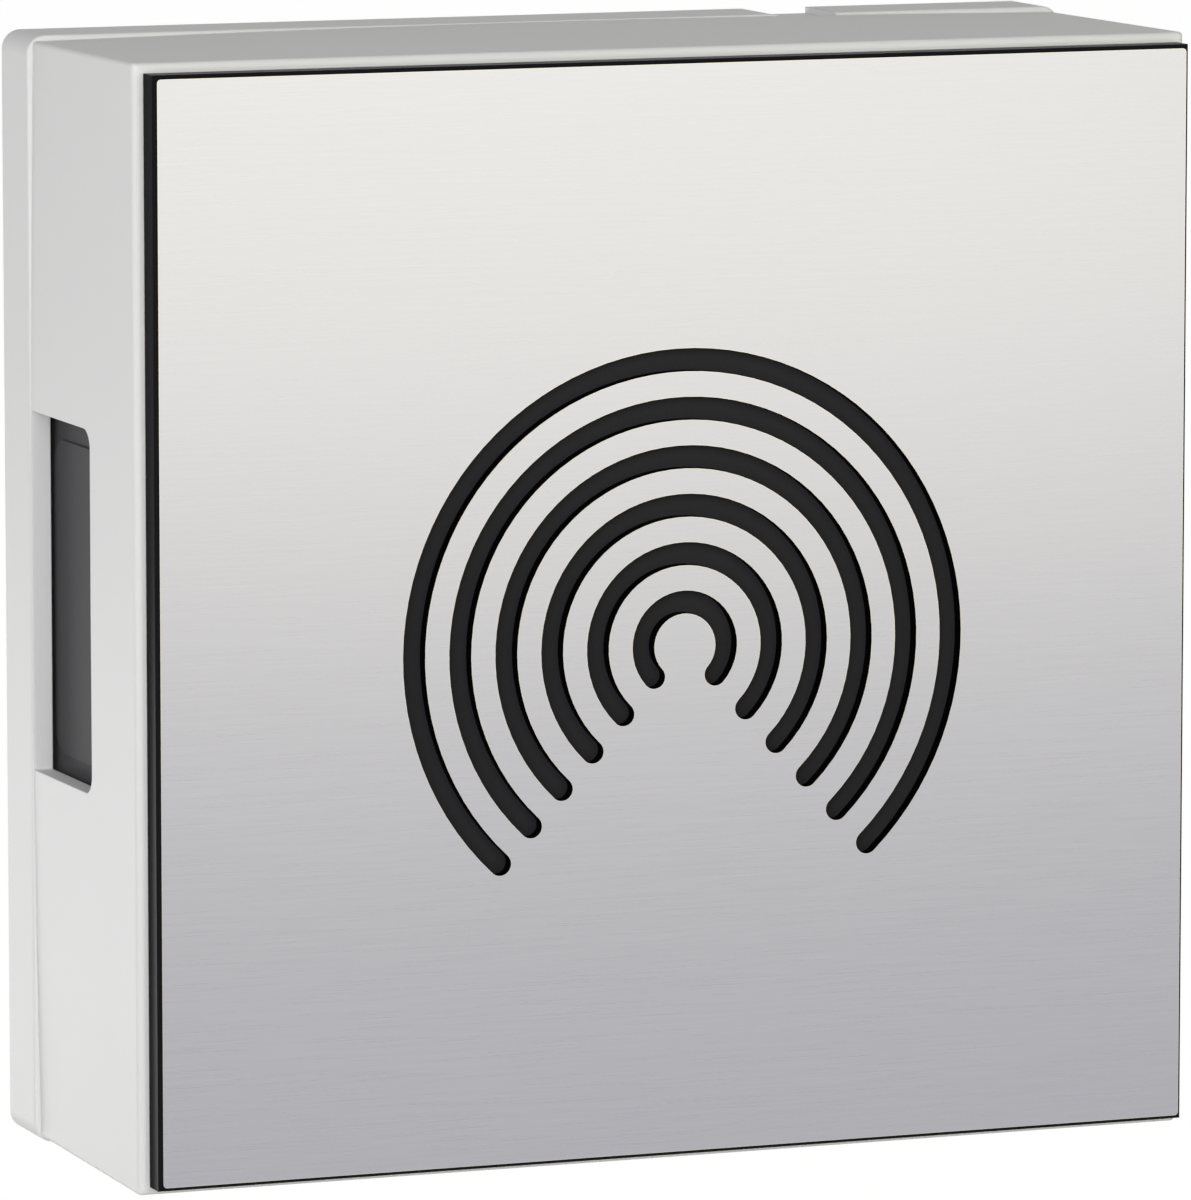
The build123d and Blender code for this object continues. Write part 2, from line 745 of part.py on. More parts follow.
# Plunger core: soft iron rod that the coil pulls in, bored at both ends for the strikers
with BuildPart() as plunger_core:
    with BuildSketch(Plane.YZ.offset(core_left)):
        with Locations((-axis_depth, 0)):
            Circle(core_radius)
    extrude(amount=core_right - core_left)
    chamfer(plunger_core.edges(), core_edge_chamfer)
    for end, way in ((core_left, 1), (core_right, -1)):
        with BuildSketch(Plane.YZ.offset(end)):
            with Locations((-axis_depth, 0)):
                Circle(spigot_radius + spigot_fit)
        extrude(amount=way * (spigot_length + spigot_fit), mode=Mode.SUBTRACT)
finish(plunger_core, "plunger_core")

# Left striker: strikes the low bar and carries the collar of the return spring
with BuildPart() as striker_left:
    with BuildSketch(Plane.YZ.offset(left_tip)):
        with Locations((-axis_depth, 0)):
            Circle(left_rod_radius)
    extrude(amount=core_left - left_tip)
    fillet(striker_left.faces().sort_by(Axis.X)[0].edges(), striker_dome_radius)
    with BuildSketch(Plane.YZ.offset(left_collar_inner - left_collar_thickness)):
        with Locations((-axis_depth, 0)):
            Circle(left_collar_radius)
    extrude(amount=left_collar_thickness)
    with BuildSketch(Plane.YZ.offset(core_left)):
        with Locations((-axis_depth, 0)):
            Circle(spigot_radius)
    extrude(amount=spigot_length)
finish(striker_left, "striker_left")

# Right striker: a thin rod through the coil with a head that strikes the high bar
with BuildPart() as striker_right:
    with BuildSketch(Plane.YZ.offset(core_right)):
        with Locations((-axis_depth, 0)):
            Circle(right_rod_radius)
    extrude(amount=right_tip - core_right)
    with BuildSketch(Plane.YZ.offset(right_tip)):
        with Locations((-axis_depth, 0)):
            Circle(striker_head_radius)
    extrude(amount=-striker_head_length)
    fillet(striker_right.faces().sort_by(Axis.X)[-1].edges(), striker_dome_radius)
    with BuildSketch(Plane.YZ.offset(core_right)):
        with Locations((-axis_depth, 0)):
            Circle(spigot_radius)
    extrude(amount=-spigot_length)
finish(striker_right, "striker_right")

# Push-on collar of the buffer spring
with BuildPart() as buffer_collar:
    with BuildSketch(Plane.YZ.offset(right_collar_inner)):
        with Locations((-axis_depth, 0)):
            Circle(right_collar_radius)
            Circle(right_rod_radius + collar_fit, mode=Mode.SUBTRACT)
    extrude(amount=right_collar_thickness)
finish(buffer_collar, "buffer_collar")

# Springs on both sides of the yoke
coil_spring(
    left_collar_inner,
    -yoke_outer,
    return_spring_radius,
    return_spring_wire,
    return_spring_turns,
    "return_spring",
)
coil_spring(
    yoke_outer,
    right_collar_inner,
    buffer_spring_radius,
    buffer_spring_wire,
    buffer_spring_turns,
    "buffer_spring",
)

# Terminal block: housing with a pocket and a wire channel for each pole
with BuildPart() as terminal_block:
    with BuildSketch(Plane.XZ.offset(platform_depth)):
        with Locations((0, -block_drop)):
            Rectangle(block_length + 2 * ear_length, block_height)
    extrude(amount=block_ear_thickness)
    with BuildSketch(Plane.XZ.offset(platform_depth)):
        with Locations((0, -block_drop)):
            Rectangle(block_length, block_height)
    extrude(amount=block_thickness)
    with BuildSketch(Plane.XZ.offset(pocket_depth)):
        for pole in pole_places:
            with Locations((pole, -block_drop)):
                Rectangle(clamp_width + 2 * clamp_fit, clamp_height + 2 * clamp_fit)
    extrude(amount=block_thickness, mode=Mode.SUBTRACT)
    with BuildSketch(Plane.XY.offset(-block_low)):
        for pole in pole_places:
            with Locations((pole, -channel_depth)):
                Circle(wire_channel_radius)
    extrude(amount=block_height, mode=Mode.SUBTRACT)
    with BuildSketch(Plane.XZ.offset(platform_depth)):
        with block_screw_places:
            Circle(tapping_shank_radius + tapping_hole_clearance)
    extrude(amount=block_ear_thickness, mode=Mode.SUBTRACT)
finish(terminal_block, "terminal_block")

# Brass clamps in the pockets
with BuildPart() as terminal_clamps:
    with BuildSketch(Plane.XZ.offset(pocket_depth)):
        for pole in pole_places:
            with Locations((pole, -block_drop)):
                Rectangle(clamp_width, clamp_height)
    extrude(amount=clamp_thickness)
    with BuildSketch(Plane.XY.offset(-block_low)):
        for pole in pole_places:
            with Locations((pole, -channel_depth)):
                Circle(clamp_hole_radius)
    extrude(amount=block_height, mode=Mode.SUBTRACT)
    with BuildSketch(Plane.XZ.offset(channel_depth)):
        for pole in pole_places:
            with Locations((pole, -block_drop)):
                Circle(clamp_screw_shank_radius + pilot_clearance)
    extrude(amount=clamp_thickness, mode=Mode.SUBTRACT)
finish(terminal_clamps, "terminal_clamps")

# Screws
clamp_screw = cross_screw(
    clamp_screw_head_radius,
    clamp_screw_head_height,
    clamp_screw_shank_radius,
    clamp_front - channel_depth - lead_radius - clamp_fit,
)
with BuildPart() as terminal_screws:
    for pole in pole_places:
        with Locations((pole, -clamp_front, -block_drop)):
            add(clamp_screw)
finish(terminal_screws, "terminal_screws")

tab_screw = cross_screw(
    tapping_head_radius, tapping_head_height, tapping_shank_radius, tab_front - screw_floor - pilot_clearance
)
with BuildPart() as resonator_screws:
    for side in (-1, 1):
        for end in (-1, 1):
            with Locations((side * tab_x, -tab_front, end * tab_offset)):
                add(tab_screw)
finish(resonator_screws, "resonator_screws")

ear_screw = cross_screw(
    tapping_head_radius, tapping_head_height, tapping_shank_radius, yoke_floor - screw_floor - pilot_clearance
)
with BuildPart() as yoke_screws:
    for end in (-1, 1):
        with Locations((0, -yoke_floor, end * ear_offset)):
            add(ear_screw)
finish(yoke_screws, "yoke_screws")

block_seat = platform_depth + block_ear_thickness
block_screw = cross_screw(
    tapping_head_radius, tapping_head_height, tapping_shank_radius, block_seat - screw_floor - pilot_clearance
)
with BuildPart() as block_screws:
    for side in (-1, 1):
        with Locations((side * block_screw_x, -block_seat, -block_drop)):
            add(block_screw)
finish(block_screws, "block_screws")

# Leads: insulated wires from the solder pins, through the clips, to the outer terminals
lead_in = block_low - lead_insert
lead_radii = (4.0, 4.0, 6.0, 5.0)
for side in (-1, 1):
    end_x = side * pole_places[-1]
    route = [
        (side * pin_x, -pin_depth, -pin_tip),
        (side * pin_x, -pin_depth, -pin_tip - lead_shoulder),
        (side * lead_side, -channel_depth, -pin_tip - lead_shoulder - lead_slope),
        (side * lead_side, -channel_depth, -block_low - lead_drop),
        (end_x, -channel_depth, -block_low - lead_drop),
        (end_x, -channel_depth, -lead_in),
    ]
    with BuildPart() as coil_lead:
        with BuildLine() as path:
            FilletPolyline(*route, radius=lead_radii)
        with BuildSketch(Plane(origin=route[0], z_dir=(0, 0, -1))):
            Circle(lead_radius)
        sweep(path=path.wire())
    print("coil_lead", side_names[side], "bend radii", lead_radii, "length", round(path.wire().length, 1))
    finish(coil_lead, f"coil_lead_{side_names[side]}")
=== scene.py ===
import bpy
from math import ceil, cos, pi, radians, sin
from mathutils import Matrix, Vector


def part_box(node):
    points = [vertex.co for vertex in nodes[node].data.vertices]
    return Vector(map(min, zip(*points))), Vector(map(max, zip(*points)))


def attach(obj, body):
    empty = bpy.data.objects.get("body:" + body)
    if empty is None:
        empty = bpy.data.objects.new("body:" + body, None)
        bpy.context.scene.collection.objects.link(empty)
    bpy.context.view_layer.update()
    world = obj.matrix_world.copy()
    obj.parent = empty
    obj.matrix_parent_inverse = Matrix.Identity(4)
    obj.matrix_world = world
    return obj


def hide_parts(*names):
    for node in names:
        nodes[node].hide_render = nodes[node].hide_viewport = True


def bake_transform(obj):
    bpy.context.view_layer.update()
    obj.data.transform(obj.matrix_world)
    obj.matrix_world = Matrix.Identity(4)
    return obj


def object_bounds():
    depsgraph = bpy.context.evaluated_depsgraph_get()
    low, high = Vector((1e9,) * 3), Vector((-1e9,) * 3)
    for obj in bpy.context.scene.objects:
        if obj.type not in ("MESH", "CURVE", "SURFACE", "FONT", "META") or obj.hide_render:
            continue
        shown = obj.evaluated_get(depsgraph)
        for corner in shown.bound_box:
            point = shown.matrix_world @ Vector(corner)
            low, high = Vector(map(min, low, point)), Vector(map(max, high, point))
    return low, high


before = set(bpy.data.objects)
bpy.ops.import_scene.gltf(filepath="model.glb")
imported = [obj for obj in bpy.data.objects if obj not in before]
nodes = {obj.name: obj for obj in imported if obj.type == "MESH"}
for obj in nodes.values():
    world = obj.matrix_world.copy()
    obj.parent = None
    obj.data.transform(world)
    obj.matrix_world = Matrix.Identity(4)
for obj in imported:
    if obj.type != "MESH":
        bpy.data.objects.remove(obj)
cad_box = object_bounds()
mm = 0.001

# Camera
# A long lens from a little left of the front and a little above, so that the left wall, the top
# and the front all show, with almost no perspective. It is upright, with no shift.
photo_height = 1200
focal_pixels = 9855.0
camera_azimuth = radians(-20.95)
camera_elevation = radians(7.68)
camera_distance = 1286.6 * mm
camera_target = Vector((-1.43, -30.0, -1.85)) * mm
away = Vector((
    sin(camera_azimuth) * cos(camera_elevation),
    -cos(camera_azimuth) * cos(camera_elevation),
    sin(camera_elevation),
))
camera_data = bpy.data.cameras.new("camera")
camera_data.sensor_width = 36.0
camera_data.lens = camera_data.sensor_width * focal_pixels / photo_height
camera_data.clip_start = 10 * mm
camera = bpy.data.objects.new("camera", camera_data)
camera.location = camera_target + away * camera_distance
camera.rotation_euler = (-away).to_track_quat("-Z", "Y").to_euler()
bpy.context.scene.collection.objects.link(camera)
bpy.context.scene.camera = camera
bpy.context.scene.view_settings.view_transform = "Standard"


# Floor, surround and lamps
# A pale floor well below the box, which hangs as it does on its wall, in a white room. A soft lamp
# close in front shades the panel from top to bottom, one further off to the upper left lights the
# whole front, and two on the left light the side wall, its corner with the front and the rim.
def linear(hex_colour):
    """Turn a written sRGB colour such as "#E0E0DE" into the linear colour that a shader takes."""
    shares = [int(hex_colour[n:n + 2], 16) / 255 for n in (1, 3, 5)]
    return [s / 12.92 if s <= 0.04045 else ((s + 0.055) / 1.055) ** 2.4 for s in shares] + [1.0]


def add_node(tree, kind, inputs=None, **settings):
    """Add one node with its settings, and give each named input its link or its value."""
    node = tree.nodes.new(kind)
    for name, value in settings.items():
        setattr(node, name, value)
    for name, value in (inputs or {}).items():
        if isinstance(value, bpy.types.NodeSocket):
            tree.links.new(value, node.inputs[name])
        else:
            node.inputs[name].default_value = value
    return node


def calculate(tree, operation, first, second=0.0):
    """One sum on two values, or on the first alone where the operation takes one."""
    return add_node(tree, "ShaderNodeMath", {0: first, 1: second}, operation=operation).outputs[0]


def seen_directly(tree):
    """One for the rays that show a surface as it is: from the camera, a gloss or a clear piece."""
    path = add_node(tree, "ShaderNodeLightPath").outputs
    camera_or_gloss = calculate(tree, "MAXIMUM", path["Is Camera Ray"], path["Is Glossy Ray"])
    return calculate(tree, "MAXIMUM", camera_or_gloss, path["Is Transmission Ray"])


def mix_shaders(tree, share, first, second):
    """The shader that goes from the first to the second as the share goes from zero to one."""
    inputs = {"Fac": share, 1: first.outputs[0], 2: second.outputs[0]}
    return add_node(tree, "ShaderNodeMixShader", inputs).outputs[0]


floor_drop = 300 * mm
floor_reach = 8.0
floor_white = 1.5
floor_share = 0.60
floor_level = cad_box[0].z - floor_drop
floor_corners = [
    (x * floor_reach, y * floor_reach, floor_level) for x, y in ((-1, -1), (1, -1), (1, 1), (-1, 1))
]
floor_mesh = bpy.data.meshes.new("floor")
floor_mesh.from_pydata(floor_corners, [], [(0, 1, 2, 3)])
floor = bpy.data.objects.new("floor", floor_mesh)
bpy.context.scene.collection.objects.link(floor)

floor_paint = bpy.data.materials.new("floor_paint")
floor_paint.use_nodes = True
tree = floor_paint.node_tree
tree.nodes.clear()
painted = add_node(tree, "ShaderNodeBsdfDiffuse", {"Color": linear("#EFEFED")})
white = add_node(tree, "ShaderNodeEmission", {"Color": linear("#FFFFFF"), "Strength": floor_white})
share = calculate(tree, "MULTIPLY", seen_directly(tree), floor_share)
add_node(tree, "ShaderNodeOutputMaterial", {"Surface": mix_shaders(tree, share, painted, white)})
floor_mesh.materials.append(floor_paint)

room_strength = 0.27
seen_strength = 1.0
world = bpy.data.worlds.new("room")
world.use_nodes = True
tree = world.node_tree
tree.nodes.clear()
room_light = add_node(tree, "ShaderNodeBackground", {"Color": linear("#FFFFFF"), "Strength": room_strength})
room_white = add_node(tree, "ShaderNodeBackground", {"Color": linear("#FFFFFF"), "Strength": seen_strength})
room = mix_shaders(tree, seen_directly(tree), room_light, room_white)
add_node(tree, "ShaderNodeOutputWorld", {"Surface": room})
bpy.context.scene.world = world

lamps = {
    "panel_lamp": ("#FFFEE4", (165, -500, 120), (0, -1, 0), (380, 360), 0.625),
    "front_lamp": ("#FFFFFF", (-250, -850, 300), (-0.3, -0.9, 0.3), (500, 500), 2.4),
    "corner_lamp": ("#FFFFFF", (-700, -700, 150), (-1, -1, 0.2), (500, 500), 3.7),
    "low_lamp": ("#FFFFFF", (-330, 600, -165), (-0.38, 0.92, -0.17), (450, 120), 1.27),
}
for name, (colour, place, back, size, power) in lamps.items():
    lamp_data = bpy.data.lights.new(name, "AREA")
    lamp_data.shape = "RECTANGLE"
    lamp_data.size = size[0] * mm
    lamp_data.size_y = size[1] * mm
    lamp_data.energy = power
    lamp_data.color = linear(colour)[:3]
    lamp = bpy.data.objects.new(name, lamp_data)
    lamp.location = Vector(place) * mm
    lamp.rotation_euler = Vector(back).to_track_quat("Z", "Y").to_euler()
    lamp.visible_camera = False
    bpy.context.scene.collection.objects.link(lamp)


# Cover shell
# One injection moulding in off-white ABS, with a proud band along the wall edge, a slot in each side
# and a notch on top. The tool was spark-eroded, so the skin is satin with a very fine grain.
def start_material(name):
    """A new material with an empty node tree, and the object's own coordinates in metres."""
    material = bpy.data.materials.new(name)
    material.use_nodes = True
    material.node_tree.nodes.clear()
    place = add_node(material.node_tree, "ShaderNodeTexCoord").outputs["Object"]
    return material, material.node_tree, place


def finish_material(tree, **inputs):
    """The shader and the output, with each input named as on the shader but in underscores."""
    shader = tree.nodes.new("ShaderNodeBsdfPrincipled")
    for name, value in inputs.items():
        socket = next(s for s in shader.inputs if s.name.lower().replace(" ", "_") == name)
        if isinstance(value, bpy.types.NodeSocket):
            tree.links.new(value, socket)
        else:
            socket.default_value = value
    add_node(tree, "ShaderNodeOutputMaterial", {"Surface": shader.outputs["BSDF"]})


def noise(tree, place, size, detail):
    """Cloudy noise from zero to one, whose largest lumps have the given size in metres."""
    inputs = {"Vector": place, "Scale": 1 / size, "Detail": detail}
    return add_node(tree, "ShaderNodeTexNoise", inputs).outputs["Fac"]


def line_noise(tree, place, sizes, detail):
    """The same noise, with lumps that have a size of their own along each axis."""
    scale = [1 / size for size in sizes]
    mapped = add_node(tree, "ShaderNodeMapping", {"Vector": place, "Scale": scale}).outputs["Vector"]
    return noise(tree, mapped, 1.0, detail)


def mix_colours(tree, share, first, second):
    """The colour between two, each of which is written in hex or comes from another node."""
    first, second = (linear(c) if isinstance(c, str) else c for c in (first, second))
    inputs = {"Fac": share, "Color1": first, "Color2": second}
    return add_node(tree, "ShaderNodeMixRGB", inputs).outputs["Color"]


def spread(tree, value, low, high, start=0.0, end=1.0):
    """The value laid over the range from low to high, as it goes from start to end."""
    inputs = {"Value": value, "From Min": start, "From Max": end, "To Min": low, "To Max": high}
    return add_node(tree, "ShaderNodeMapRange", inputs).outputs["Result"]


def bevelled(tree, radius, samples):
    """The normal of a surface whose edges are rounded a little in the shading."""
    return add_node(tree, "ShaderNodeBevel", {"Radius": radius}, samples=samples).outputs["Normal"]


def bumped(tree, height, depth, strength, normal=None):
    """The normal of a surface with small heights in the shading, up to the given depth."""
    inputs = {"Height": height, "Distance": depth, "Strength": strength}
    if normal:
        inputs["Normal"] = normal
    return add_node(tree, "ShaderNodeBump", inputs).outputs["Normal"]


def moulded_plastic(name, light, dark, roughness, grain, depth, edge, specular=0.5):
    """Moulded thermoplastic: slow drifts of colour, a fine eroded grain and slightly soft edges."""
    cloud_size = 35 * mm
    gloss_drift = 0.05
    material, tree, place = start_material(name)
    cloud = noise(tree, place, cloud_size, detail=3.0)
    pits = noise(tree, place, grain, detail=2.0)
    skin = bumped(tree, pits, depth, strength=0.4, normal=bevelled(tree, edge, samples=4))
    finish_material(
        tree,
        base_color=mix_colours(tree, cloud, light, dark),
        roughness=spread(tree, pits, roughness - gloss_drift, roughness + gloss_drift),
        specular_ior_level=specular,
        normal=skin,
    )
    return material


def dress(node, material):
    """Give a node that keeps its own shape its finish."""
    nodes[node].data.materials.clear()
    nodes[node].data.materials.append(material)


off_white_abs = moulded_plastic(
    "off_white_abs",
    "#E3E3E3",
    "#DFDFDF",
    roughness=0.55,
    grain=0.45 * mm,
    depth=0.006 * mm,
    edge=0.25 * mm,
    specular=0.15,
)
dress("cover_shell", off_white_abs)

# Front panel core
# Black two-ply engraving plastic, sawn to size, with a bevelled front edge. The rings are milled
# into it, which leaves matt grey floors; the groove walls are coloured near-black as painted shade,
# and the sawn edge has fine lines along it.
saw_line = 0.5 * mm
saw_run = 30 * mm
saw_depth = 0.03 * mm
mill_grain = 0.35 * mm
mill_depth = 0.01 * mm
floor_facing = -0.9
foil_margin = 0.3 * mm
foil_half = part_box("front_panel_face")[1].x
black_laminate, tree, place = start_material("black_laminate")
lines = line_noise(tree, place, (saw_run, saw_line, saw_run), detail=3.0)
sawn = mix_colours(tree, lines, "#151517", "#1D1D1F")
pits = noise(tree, place, mill_grain, detail=2.0)
floor_grey = mix_colours(tree, pits, "#2A2A2C", "#303033")
own_normal = add_node(tree, "ShaderNodeTexCoord").outputs["Normal"]
facing = add_node(tree, "ShaderNodeSeparateXYZ", {"Vector": own_normal}).outputs["Y"]
to_front = calculate(tree, "LESS_THAN", facing, floor_facing)
# The groove walls, which don't face the front, get near-black painted shade; the floors keep their grey.
milled_floor_shaded_wall = mix_colours(tree, to_front, "#070708", floor_grey)
spot = add_node(tree, "ShaderNodeSeparateXYZ", {"Vector": place}).outputs
across = calculate(tree, "ABSOLUTE", spot["X"])
upwards = calculate(tree, "ABSOLUTE", spot["Z"])
reach = calculate(tree, "MAXIMUM", across, upwards)
in_rings = calculate(tree, "LESS_THAN", reach, foil_half - foil_margin)
ridges = bumped(tree, lines, saw_depth, strength=0.4)
finish_material(
    tree,
    base_color=mix_colours(tree, in_rings, sawn, milled_floor_shaded_wall),
    roughness=0.25,
    specular_ior_level=0.005,
    normal=bumped(tree, pits, mill_depth, strength=0.4, normal=ridges),
)
dress("front_panel_core", black_laminate)

# Front panel face
# Brushed aluminium foil bonded to the core and cut through with it. The brushing runs across, in
# short fine hairlines drawn twice as coarse as real ones, and the milled edges get a thin painted
# highlight in beige.
hairline = 0.16 * mm
hairline_run = 12 * mm
hairline_depth = 0.0006 * mm
painted_highlight_width = 0.12 * mm
edge_starts, edge_ends = 0.995, 0.85
brushed_aluminium, tree, place = start_material("brushed_aluminium")
hairs = line_noise(tree, place, (hairline_run, hairline_run, hairline), detail=2.0)
brushed = mix_colours(tree, hairs, "#A3A2A9", "#AAA9B0")
rounded = bevelled(tree, painted_highlight_width, samples=6)
flat = add_node(tree, "ShaderNodeNewGeometry").outputs["Normal"]
turned = add_node(tree, "ShaderNodeVectorMath", {0: rounded, 1: flat}, operation="DOT_PRODUCT")
# Where the bevel turns the normal, at the milled edges, the colour goes to a beige painted highlight.
painted_edge_highlight = spread(tree, turned.outputs["Value"], 0.0, 1.0, start=edge_starts, end=edge_ends)
finish_material(
    tree,
    base_color=mix_colours(tree, painted_edge_highlight, brushed, "#DDD5C8"),
    metallic=1.0,
    roughness=spread(tree, hairs, 0.26, 0.30),
    anisotropic=0.3,
    anisotropic_rotation=0.25,
    tangent=add_node(tree, "ShaderNodeTangent", direction_type="RADIAL", axis="Z").outputs["Tangent"],
    normal=bumped(tree, hairs, hairline_depth, strength=0.5),
)
dress("front_panel_face", brushed_aluminium)

# Foam tape
# Closed-cell foam with adhesive on both sides, four strips that hold the panel on the cover.
foam_white = moulded_plastic(
    "foam_white", "#C9C9C2", "#BEBEB6", roughness=0.85, grain=0.4 * mm, depth=0.05 * mm, edge=0.1 * mm
)
dress("panel_tape", foam_white)

# Base plate
# Dark grey ABS chassis, moulded in one piece with its posts, clips and screw bosses, and left with
# a slightly coarser grain than the cover because nobody sees it on the wall.
charcoal_abs = moulded_plastic(
    "charcoal_abs", "#4A4A4D", "#444447", roughness=0.5, grain=0.5 * mm, depth=0.012 * mm, edge=0.2 * mm
)
dress("base_plate", charcoal_abs)

# Resonators
# Two dark grey ABS boxes, open towards the tone bars. Each bulges out behind the cover's slot, with
# a slightly raised pad that has rounded corners, and closes it off. They have a plain satin skin.
slate_abs = moulded_plastic(
    "slate_abs",
    "#4B4B4D",
    "#464648",
    roughness=0.6,
    grain=0.5 * mm,
    depth=0.01 * mm,
    edge=0.25 * mm,
    specular=0.05,
)
for side in ("left", "right"):
    dress(f"resonator_{side}", slate_abs)


# Tone bars
# Blanked from rolled steel strip and bright zinc plated, so faint rolling lines run up each bar
# under a satin skin, and the blanked edges are a little brighter.
def worked_metal(name, light, dark, roughness, line, run, edge):
    """Rolled, drawn or turned metal: fine lines that run along one axis, and softened edges."""
    cloud_size = 9 * mm
    run_to_line = 40
    line_depth = 0.004 * mm
    gloss_drift = 0.08
    material, tree, place = start_material(name)
    sizes = [line, line, line]
    sizes[run] = run_to_line * line
    marks = line_noise(tree, place, sizes, detail=3.0)
    cloud = noise(tree, place, cloud_size, detail=4.0)
    finish_material(
        tree,
        base_color=mix_colours(tree, cloud, light, dark),
        metallic=1.0,
        roughness=spread(tree, marks, roughness - gloss_drift, roughness + gloss_drift),
        normal=bumped(tree, marks, line_depth, strength=0.5, normal=bevelled(tree, edge, samples=4)),
    )
    return material


across_x, across_y, up_z = 0, 1, 2
zinc_strip = worked_metal(
    "zinc_strip", "#C6C7C6", "#B9BABB", roughness=0.30, line=0.15 * mm, run=up_z, edge=0.25 * mm
)
for pitch in ("low", "high"):
    dress(f"tone_bar_{pitch}", zinc_strip)

# Bar grommets and retainers
# Soft black rubber bushes that let each bar ring, and stamped spring-steel push-on rings. The
# cable's grommet in the base is of the same rubber.
black_rubber = moulded_plastic(
    "black_rubber", "#29292A", "#222223", roughness=0.7, grain=0.3 * mm, depth=0.02 * mm, edge=0.3 * mm
)
for node in ("bar_grommets", "cable_grommet"):
    dress(node, black_rubber)
spring_steel = worked_metal(
    "spring_steel", "#A9ABAD", "#8F9194", roughness=0.28, line=0.1 * mm, run=across_x, edge=0.1 * mm
)
dress("bar_retainers", spring_steel)

# Bobbin
# Natural glass-filled nylon: a warm, slightly waxy white with a dull skin.
natural_nylon = moulded_plastic(
    "natural_nylon", "#E2DDCB", "#D8D2BE", roughness=0.5, grain=0.4 * mm, depth=0.01 * mm, edge=0.2 * mm
)
dress("coil_bobbin", natural_nylon)


# Coil winding
# Enamelled copper wire wound side by side between the flanges. It is drawn about twice as thick as
# the real wire, because turns at their true size wouldn't show.
def wire_mesh(name, points, radius, sides, material):
    """A round wire through the points, smooth-shaded, with flat ends."""
    vertices = []
    out = (points[1] - points[0]).orthogonal().normalized()
    for n, point in enumerate(points):
        ahead = (points[min(n + 1, len(points) - 1)] - points[max(n - 1, 0)]).normalized()
        out = (out - ahead * out.dot(ahead)).normalized()
        across = ahead.cross(out)
        for corner in range(sides):
            turn = 2 * pi * corner / sides
            vertices.append(point + (out * cos(turn) + across * sin(turn)) * radius)
    faces = [tuple(reversed(range(sides)))]
    for ring in range(len(points) - 1):
        for corner in range(sides):
            ahead_corner = (corner + 1) % sides
            first, second = ring * sides, (ring + 1) * sides
            faces.append((first + corner, first + ahead_corner, second + ahead_corner, second + corner))
    faces.append(tuple(range(len(vertices) - sides, len(vertices))))
    mesh = bpy.data.meshes.new(name)
    mesh.from_pydata(vertices, [], faces)
    mesh.shade_smooth()
    mesh.materials.append(material)
    piece = bpy.data.objects.new(name, mesh)
    bpy.context.scene.collection.objects.link(piece)
    return piece


enamel_cloud = 3 * mm
enamelled_copper, tree, place = start_material("enamelled_copper")
cloud = noise(tree, place, enamel_cloud, detail=3.0)
finish_material(
    tree,
    base_color=mix_colours(tree, cloud, "#C8763F", "#AD5F2C"),
    metallic=1.0,
    roughness=spread(tree, cloud, 0.25, 0.35),
    coat_weight=0.6,
    coat_roughness=0.12,
)
low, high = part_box("coil_winding")
middle = (low + high) / 2
winding_wire = 0.5 * mm
winding_sides = 6
winding_steps = 48
winding_radius = (high.z - low.z - winding_wire) / 2
winding_turns = ceil((high.x - low.x - winding_wire) / winding_wire)
winding_points = []
for n in range(winding_turns * winding_steps + 1):
    turn = 2 * pi * n / winding_steps
    along = low.x + winding_wire / 2 + (high.x - low.x - winding_wire) * n / (winding_turns * winding_steps)
    winding_points.append(Vector((
        along,
        middle.y + winding_radius * sin(turn),
        middle.z - winding_radius * cos(turn),
    )))
winding = wire_mesh(
    "winding", winding_points, winding_wire / 2, winding_sides, enamelled_copper
)
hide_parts("coil_winding")
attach(winding, "base")

# Solder pins
# Tinned brass pins in the bobbin's lugs, where the winding ends and the leads are soldered.
tinned_brass = worked_metal(
    "tinned_brass", "#C9C8C2", "#B7B5AD", roughness=0.32, line=0.1 * mm, run=up_z, edge=0.08 * mm
)
dress("solder_pins", tinned_brass)

# Coil yoke
# Mild steel strip bent round the coil, then zinc plated and clear passivated.
zinc_yoke = worked_metal(
    "zinc_yoke", "#BFC2C4", "#A9ADB0", roughness=0.36, line=0.2 * mm, run=across_x, edge=0.3 * mm
)
dress("coil_yoke", zinc_yoke)

# Plunger core and strikers
# A turned soft-iron core with a nylon striker pressed into each end, and the collar of the buffer
# spring. The iron is darker than the plated parts, and the strikers are natural nylon.
turned_iron = worked_metal(
    "turned_iron", "#9B9A98", "#848381", roughness=0.34, line=0.12 * mm, run=across_y, edge=0.15 * mm
)
dress("plunger_core", turned_iron)
striker_nylon = moulded_plastic(
    "striker_nylon", "#E6E2D3", "#DDD8C6", roughness=0.4, grain=0.3 * mm, depth=0.006 * mm, edge=0.2 * mm
)
for node in ("striker_left", "striker_right", "buffer_collar"):
    dress(node, striker_nylon)
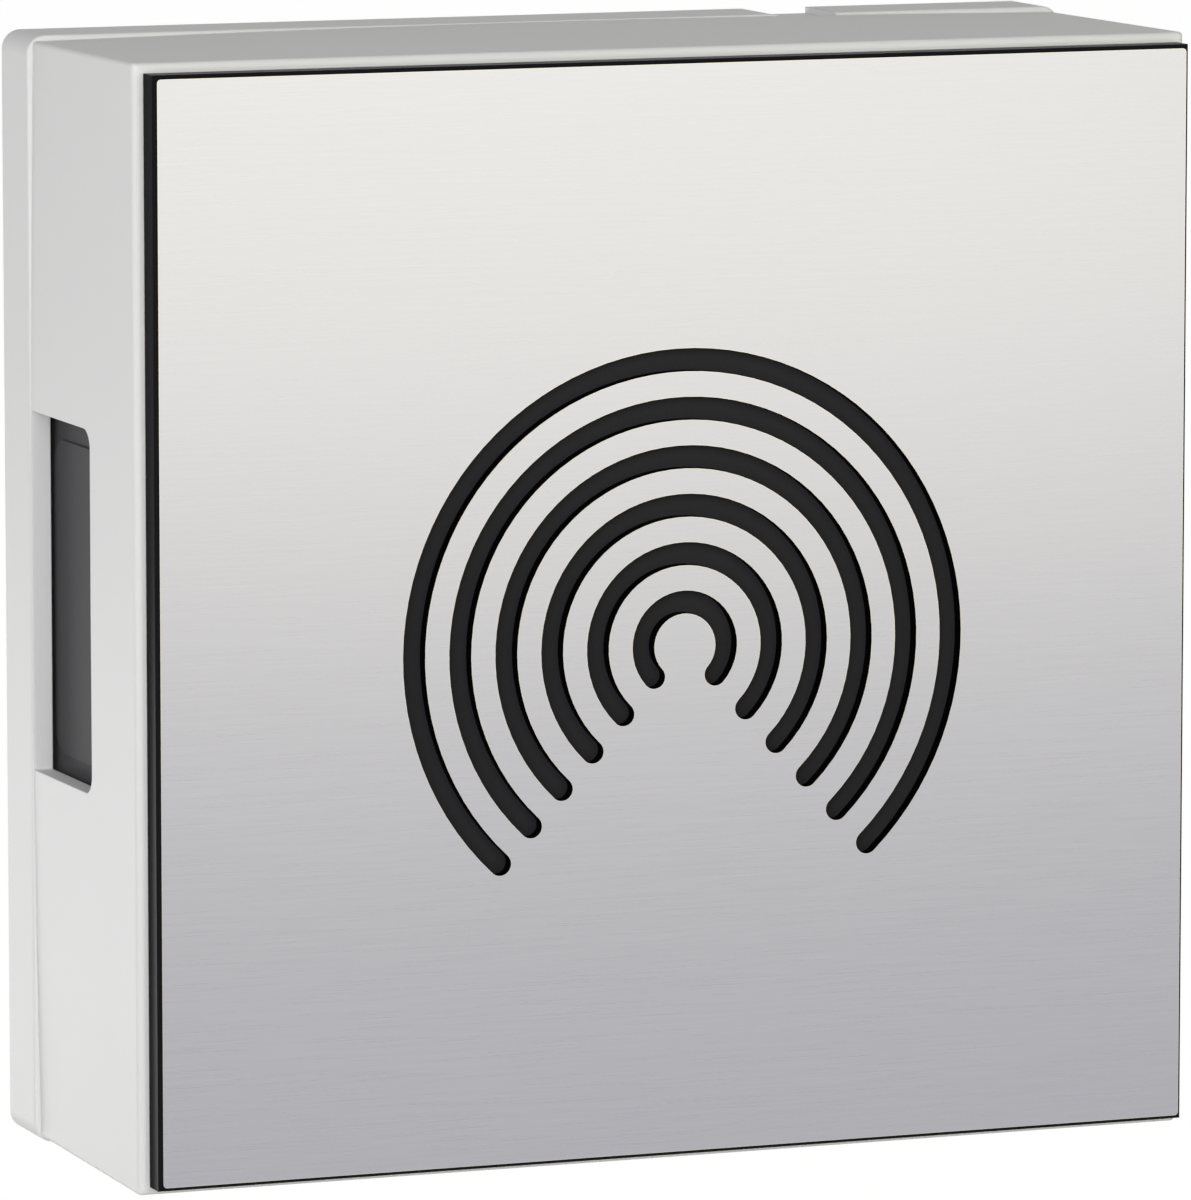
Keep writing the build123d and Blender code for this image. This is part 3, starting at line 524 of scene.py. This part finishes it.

# Springs
# Music wire, coiled with a closed turn at each end. One end sits on the yoke and the other on the
# plunger's collar.
music_wire = worked_metal(
    "music_wire", "#B4B6B8", "#9C9EA1", roughness=0.24, line=0.08 * mm, run=across_x, edge=0.05 * mm
)
spring_sides = 12
spring_steps = 32
closed_pitch = 1.05
springs = {
    "return_spring": (0.7 * mm, 7, 1),
    "buffer_spring": (0.5 * mm, 5, -1),
}
for node, (wire, turns, fixed_side) in springs.items():
    low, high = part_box(node)
    middle = (low + high) / 2
    mean_radius = (high.z - low.z - wire) / 2
    start, end = low.x + wire / 2, high.x - wire / 2
    closed_rise = wire * closed_pitch
    open_rise = (end - start - 2 * closed_rise) / (turns - 2)
    points = []
    along = start
    for n in range(turns * spring_steps + 1):
        turn = n / spring_steps
        points.append(Vector((
            along,
            middle.y + mean_radius * sin(2 * pi * turn),
            middle.z + mean_radius * cos(2 * pi * turn),
        )))
        in_end = turn < 1 or turn >= turns - 1
        along += (closed_rise if in_end else open_rise) / spring_steps
    spring = wire_mesh(f"{node}_wire", points, wire / 2, spring_sides, music_wire)
    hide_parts(node)
    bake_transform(spring)

# Terminal block
# White nylon housing with machined brass clamps in its pockets.
terminal_nylon = moulded_plastic(
    "terminal_nylon", "#E4E4E0", "#DCDCD7", roughness=0.45, grain=0.4 * mm, depth=0.008 * mm, edge=0.2 * mm
)
dress("terminal_block", terminal_nylon)
clamp_brass = worked_metal(
    "clamp_brass", "#CDB272", "#B8994F", roughness=0.3, line=0.15 * mm, run=across_y, edge=0.15 * mm
)
dress("terminal_clamps", clamp_brass)

# Screws
# Cross-recessed steel screws, bright zinc plated.
bright_zinc = worked_metal(
    "bright_zinc", "#D0D2D4", "#B9BCC0", roughness=0.25, line=0.12 * mm, run=across_y, edge=0.15 * mm
)
for node in ("terminal_screws", "resonator_screws", "yoke_screws", "block_screws"):
    dress(node, bright_zinc)

# Leads
# Hook-up wire with red PVC insulation, glossy and very slightly uneven.
red_pvc = moulded_plastic(
    "red_pvc", "#9C231C", "#8A1B16", roughness=0.3, grain=0.6 * mm, depth=0.01 * mm, edge=0.05 * mm
)
for side in ("left", "right"):
    dress(f"coil_lead_{side}", red_pvc)
